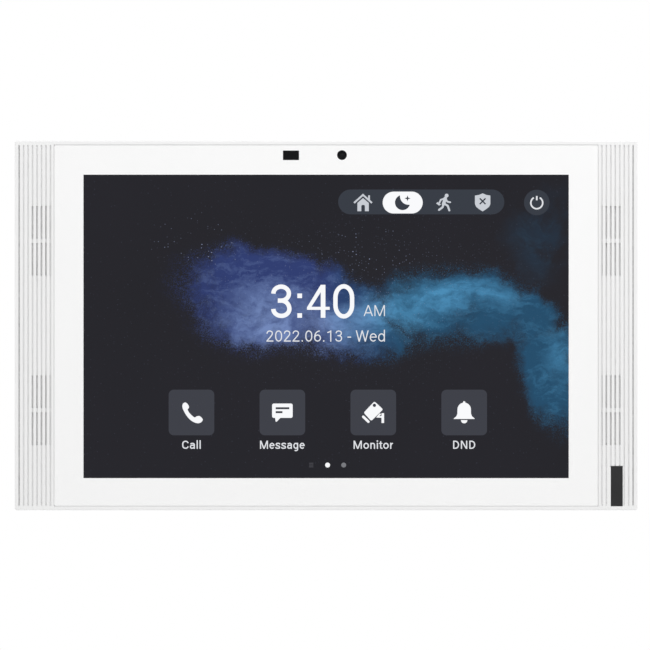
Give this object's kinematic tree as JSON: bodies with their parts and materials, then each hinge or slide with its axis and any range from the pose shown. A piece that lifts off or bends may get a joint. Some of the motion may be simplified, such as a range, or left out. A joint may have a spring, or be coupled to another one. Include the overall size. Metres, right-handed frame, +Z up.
{
  "type": "video intercom monitor",
  "caption": "Flat white wall-mounted touch-screen video intercom monitor with grooved speaker strips at both sides, hung on a steel wall bracket.",
  "frame": {"origin": "centre of the wall bracket's back face, on the wall plane", "axes": "+X to the right seen from the front, +Y into the wall, +Z up; the screen faces -Y"},
  "size_m": [0.2784, 0.026, 0.1652],
  "materials": {
    "bracket_steel": "satin zinc plate",
    "housing_white": "matte",
    "frame_white": "satin",
    "badge_dark": "satin",
    "clear_glass": "polished",
    "white_ink": "gloss",
    "black_foam": "matte",
    "display": "gloss",
    "acrylic": "gloss",
    "led_strip": "satin",
    "bright_sheet": "satin",
    "alloy_plate": "satin",
    "circuit_board": "satin",
    "shield_can": "satin",
    "green_terminal": "satin",
    "black_plastic": "matte",
    "button_red": "satin",
    "lens_glass": "polished",
    "amber_film": "satin",
    "dark_filter": "gloss",
    "black_wire": "satin",
    "grey_wire": "satin",
    "dust_mesh": "matte",
    "speaker_cone": "matte",
    "magnet_nickel": "polished",
    "grey_rubber": "matte",
    "screw_steel": "satin"
  },
  "bodies": {
    "wall_bracket": {"wall_bracket": "bracket_steel"},
    "monitor": {"rear_housing": "housing_white", "front_frame": "frame_white", "badge_plate": "badge_dark", "cover_glass": "clear_glass", "printed_border": "white_ink", "cover_adhesive": "black_foam", "lcd_cell": "display", "light_guide": "acrylic", "led_bar": "led_strip", "lcd_pan": "bright_sheet", "mid_plate": "alloy_plate", "main_board": "circuit_board", "light_sensor_board": "circuit_board", "microphone_left": "circuit_board", "microphone_right": "circuit_board", "processor_shield": "shield_can", "ethernet_jack": "shield_can", "io_header": "green_terminal", "power_header": "green_terminal", "reset_switch": "black_plastic", "camera_module": "black_plastic", "speaker_frame_left": "black_plastic", "speaker_frame_right": "black_plastic", "camera_lens": "lens_glass", "camera_flex": "amber_film", "sensor_flex": "amber_film", "lcd_flex": "amber_film", "touch_flex": "amber_film", "wifi_antenna": "amber_film", "sensor_window": "dark_filter", "antenna_lead": "black_wire", "speaker_lead_left": "black_wire", "speaker_lead_right": "black_wire", "microphone_lead_left": "grey_wire", "microphone_lead_right": "grey_wire", "grille_mesh_left": "dust_mesh", "grille_mesh_right": "dust_mesh", "speaker_gasket_left": "black_foam", "speaker_gasket_right": "black_foam", "speaker_magnet_left": "magnet_nickel", "speaker_magnet_right": "magnet_nickel", "wall_pad_left": "grey_rubber", "wall_pad_right": "grey_rubber", "housing_screw_1": "screw_steel", "housing_screw_2": "screw_steel", "housing_screw_3": "screw_steel", "housing_screw_4": "screw_steel", "housing_screw_5": "screw_steel", "housing_screw_6": "screw_steel", "board_screw_1": "screw_steel", "board_screw_2": "screw_steel", "board_screw_3": "screw_steel", "board_screw_4": "screw_steel"},
    "speaker_cone_left": {"speaker_cone_left": "speaker_cone"},
    "speaker_cone_right": {"speaker_cone_right": "speaker_cone"},
    "io_plug": {"io_plug": "green_terminal"},
    "power_plug": {"power_plug": "green_terminal"},
    "reset_button": {"reset_button": "button_red"}
  },
  "joints": [
    {"name": "lift_off", "type": "slide", "parent": "wall_bracket", "child": "monitor", "axis": [0, 0, 1], "range_m": [0, 0.0075]},
    {"name": "cone_left", "type": "slide", "parent": "monitor", "child": "speaker_cone_left", "axis": [0, -1, 0], "range_m": [-0.0004, 0.0004], "stiffness_N_per_m": 300},
    {"name": "cone_right", "type": "slide", "parent": "monitor", "child": "speaker_cone_right", "axis": [0, -1, 0], "range_m": [-0.0004, 0.0004], "stiffness_N_per_m": 300},
    {"name": "io_plug_pull", "type": "slide", "parent": "monitor", "child": "io_plug", "axis": [0, 0, -1], "range_m": [0, 0.009]},
    {"name": "power_plug_pull", "type": "slide", "parent": "monitor", "child": "power_plug", "axis": [0, 0, -1], "range_m": [0, 0.009]},
    {"name": "reset_press", "type": "slide", "parent": "monitor", "child": "reset_button", "axis": [0, -1, 0], "range_m": [0, 0.0004], "stiffness_N_per_m": 1500}
  ]
}
